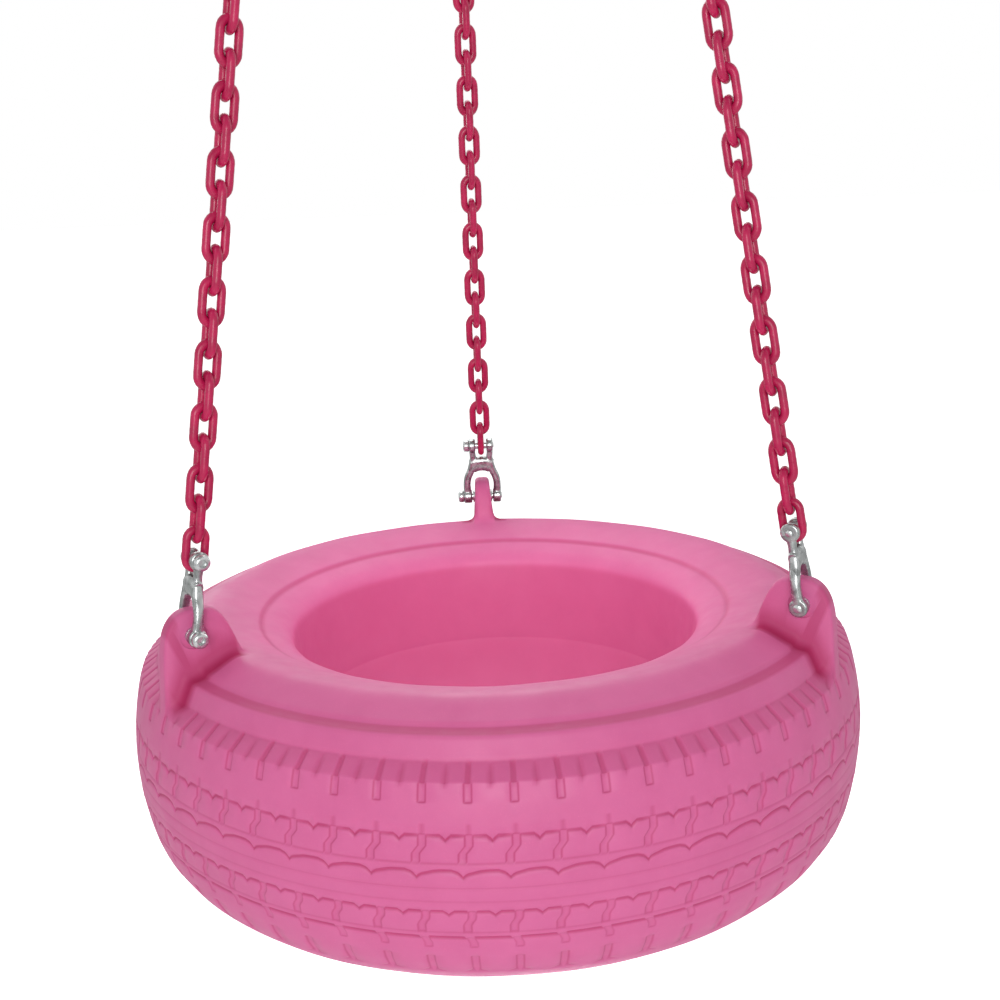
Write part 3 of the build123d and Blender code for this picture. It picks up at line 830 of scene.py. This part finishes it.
def forged_clevis():
    """Mesh of the clevis about its ear bolt: bars and bosses run together, then cut for the bolts."""
    shapes = []
    for side in (-1, 1):
        shapes.append(clevis_arm(side))
        for radius, width, arm, z in ((lower_eye, lower_width, lower_arm, 0),
                                      (upper_eye, upper_width, upper_arm, clevis_length)):
            ends = sorted((side * width / 2, side * (width / 2 - arm)))
            shapes.append(eye_disc(radius, *ends, z))
    crotch = curve_through([(-11, 37), (-6, 39.2), (0, 39.8), (6, 39.2), (11, 37)], 1.5)
    swell = 5.6 - 0.5 * np.abs(crotch[:, 0]) / 11
    shapes.append(bar(crotch, swell * 0.94, np.full(len(crotch), 8.4)))
    piece = make_piece("clevis_blank", *join_shapes(shapes), finishes["galvanised_steel"])
    remesh = piece.modifiers.new("fuse", "REMESH")
    remesh.mode = "VOXEL"
    remesh.voxel_size = 0.45 * MM
    soften = piece.modifiers.new("soften", "SMOOTH")
    soften.factor = 0.5
    soften.iterations = 14
    thin = piece.modifiers.new("thin", "DECIMATE")
    thin.ratio = 0.32
    evaluated(piece)
    cut(piece, bolt_holes())
    mesh = piece.data
    mesh.shade_smooth()
    mesh.set_sharp_from_angle(angle=math.radians(48))
    bpy.data.objects.remove(piece)
    return mesh


def shoulder_bolt(shank, tip, width, gap):
    """Round-headed security bolt along Y, head on +Y, with a round socket and a chamfered tip."""
    head, head_height, socket = 6.75, 6.6, 3.4
    base = width / 2 + 0.05
    end = base + head_height
    far, step = -width / 2, -gap / 2 + 0.5
    profile = [(0, far - 1), (tip - 0.7, far - 1), (tip, far - 0.3), (tip, step),
               (shank, step), (shank, base), (head - 0.5, base), (head, base + 0.5),
               (head, end - 2.2), (head - 0.5, end - 1.0), (head - 1.7, end - 0.25), (head - 2.8, end),
               (socket, end), (socket - 0.3, end - 0.4), (socket - 0.4, end - 3.2), (0, end - 3.2)]
    return lathe(profile, 48)


def build_clevis(name, mesh):
    place = local_to_frame(name) @ chain_to_local()
    clevis = bpy.data.objects.new(name + "_forged_clevis", mesh.copy())
    bpy.context.scene.collection.objects.link(clevis)
    place_m = place.copy()
    place_m.translation = place.translation * MM
    clevis.data.transform(place_m)
    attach(clevis, BODY_OF[name + "_clevis"])
    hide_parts(name + "_clevis")
    for kind, (shank, tip, width, gap, height) in bolts.items():
        where = local_to_frame(name) @ chain_to_local(height) @ Z_TO_Y
        shape = moved(shoulder_bolt(shank, tip, width, gap), where)
        bolt = make_piece(f"{name}_{kind}_shoulder_bolt", *shape, finishes["bolt_steel"], sharp=50)
        node = f"{name}_{kind}_bolt"
        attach(bolt, BODY_OF[node])
        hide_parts(node)


# ---- carried-over parts of the swivel --------------------------------------------------------
cast_nodes = ("hanger_bracket", "cross_block", "swivel_housing", "housing_cap", "spider")
nodes_of_finish = {
    "swivel_iron": cast_nodes,
    "bolt_steel": ("fore_aft_pin", "fore_aft_nut", "fore_aft_washers", "side_pin", "side_nut",
                   "side_washers", "cap_screws", "spindle", "spindle_nut", "cotter_pin", "grease_nipple",
                   "spider_bolts", "spider_nuts", "ear_sleeves"),
    "bronze": ("fore_aft_bushes", "side_bushes", "spindle_bush"),
    "bearing_steel": ("lower_race", "upper_race", "bearing_balls"),
    "cage_brass": ("ball_cage",),
    "seal_rubber": ("dust_seal",),
}


def finish_node(name, slot):
    """Gives a CAD node its finish and eased edges."""
    node = frame["nodes"][name]
    node.data.materials.clear()
    node.data.materials.append(finishes[slot])
    weld = node.modifiers.new("weld", "WELD")
    weld.merge_threshold = 0.005 * MM
    ease = node.modifiers.new("ease", "BEVEL")
    ease.width = (1.2 if name in cast_nodes else 0.35) * MM
    ease.segments = 2
    ease.limit_method = "ANGLE"
    ease.angle_limit = math.radians(40)
    ease.harden_normals = True


# ---- stage, light and camera -----------------------------------------------------------------
sensor_width, lens = 36, 46.836
camera_back, camera_up = 1171.4, 484.3  # from the tire's axis and the seat's datum plane
camera_yaw, camera_pitch, camera_roll = 0.008, 0.235, -0.039  # radians
seat_turn = 0.028  # the seat hangs turned by this much, which the camera takes up
# Disc lights, in metres from the seat's datum plane: place, the Y they aim at, diameter, power in watts.
lights = (
    ("key", (-0.15, -2.4, 0.75), 0, 1.3, 24),
    ("rear_fill", (-1.2, 2.6, 1.0), 0, 1.6, 10),
    ("top_fill", (0, 0.9, 1.4), 0.25, 1.2, 8.5),
    ("hole_bounce", (0, 0, -0.35), 0, 0.3, 0.72),
    ("hole_glow", (0, 0, 0.24), 0, 0.2, 0.24),
    ("side_panel", (-1.6, 0, 2.1), 0, 1.4, 5),
    ("side_panel", (1.6, 0, 2.1), 0, 1.4, 5),
)
floor_reach, floor_drop = 60.0, 450  # half the floor's side in metres, and how far the seat hangs above it


def build_camera():
    cy, sy = math.cos(camera_yaw), math.sin(camera_yaw)
    cp, sp = math.cos(camera_pitch), math.sin(camera_pitch)
    ahead = Vector((sy * cp, cy * cp, -sp))
    right = Vector((cy, -sy, 0))
    up = right.cross(ahead)
    c, s = math.cos(camera_roll), math.sin(camera_roll)
    axes = Matrix((c * right + s * up, -s * right + c * up, -ahead)).transposed().to_4x4()
    place = Matrix.Translation((0, -camera_back * MM, (seat_z + camera_up) * MM)) @ axes
    data = bpy.data.cameras.new("camera")
    data.sensor_width = sensor_width
    data.lens = lens
    data.clip_start, data.clip_end = 0.05, 200
    camera = bpy.data.objects.new("camera", data)
    bpy.context.scene.collection.objects.link(camera)
    camera.matrix_world = Matrix.Rotation(-seat_turn, 4, "Z") @ place
    bpy.context.scene.camera = camera


def area_light(name, place, aim_y, diameter, power):
    x, y, up = place
    data = bpy.data.lights.new(name, "AREA")
    data.shape = "DISK"
    data.size = diameter
    data.energy = power
    light = bpy.data.objects.new(name, data)
    bpy.context.scene.collection.objects.link(light)
    light.location = (x, y, seat_z * MM + up)
    light.visible_camera = False
    target = Vector((0, aim_y, seat_z * MM))
    light.rotation_mode = "QUATERNION"
    light.rotation_quaternion = (target - Vector(light.location)).to_track_quat("-Z", "Y")


def build_world():
    """White to the camera, bright all round in reflections, softer as general light and dimmer overhead."""
    world = bpy.data.worlds.new("studio")
    bpy.context.scene.world = world
    world.use_nodes = True
    tree = world.node_tree
    background = tree.nodes["Background"]
    direction = add_node(tree, "ShaderNodeTexCoord").outputs["Generated"]
    height = add_node(tree, "ShaderNodeSeparateXYZ", {"Vector": direction}).outputs["Z"]
    dim = remap(tree, height, 0.1, 0.75, 0.0, 1.0)
    soft = blend_colours(tree, dim, (0.53, 0.53, 0.53), (0.29, 0.29, 0.29))
    mirrored = blend_colours(tree, dim, (1, 1, 1), (0.36, 0.36, 0.36))
    ray = add_node(tree, "ShaderNodeLightPath")
    sky = blend_colours(tree, ray.outputs["Is Glossy Ray"], soft, mirrored)
    shown = blend_colours(tree, ray.outputs["Is Camera Ray"], sky, (1, 1, 1))
    tree.links.new(shown, background.inputs["Color"])


def build_floor():
    """A pale floor below the seat, which shows as white as the world does."""
    z = (seat_z - crest - floor_drop) * MM
    corners = [(x * floor_reach, y * floor_reach, z) for x, y in ((-1, -1), (1, -1), (1, 1), (-1, 1))]
    mesh = bpy.data.meshes.new("floor")
    mesh.from_pydata(corners, [], [[0, 1, 2, 3]])
    material, tree, shader = new_material("pale_floor")
    tone = remap(tree, noise(tree, 3, 3), 0.3, 0.7, 0.68, 0.72)
    channels = {"Red": tone, "Green": tone, "Blue": tone}
    grey = add_node(tree, "ShaderNodeCombineColor", channels).outputs["Color"]
    set_inputs(tree, shader, Base_Color=grey, Roughness=0.9, Specular_IOR_Level=0.1)
    seen = add_node(tree, "ShaderNodeLightPath").outputs["Is Camera Ray"]
    glow = remap(tree, seen, 0, 1, 0.26, 1.0)
    set_inputs(tree, shader, Emission_Color=(1, 1, 1, 1), Emission_Strength=glow)
    mesh.materials.append(material)
    floor = bpy.data.objects.new("floor", mesh)
    bpy.context.scene.collection.objects.link(floor)


build_seat()
for name, twist in (("rear", 14), ("left", 0), ("right", 0)):
    build_chain(name, twist)
clevis_mesh = forged_clevis()
for name in AZIMUTHS:
    build_clevis(name, clevis_mesh)
for slot_name, node_names in nodes_of_finish.items():
    for node_name in node_names:
        finish_node(node_name, slot_name)
build_world()
build_floor()
build_camera()
for light in lights:
    area_light(*light)
bpy.context.scene.view_settings.view_transform = "Standard"
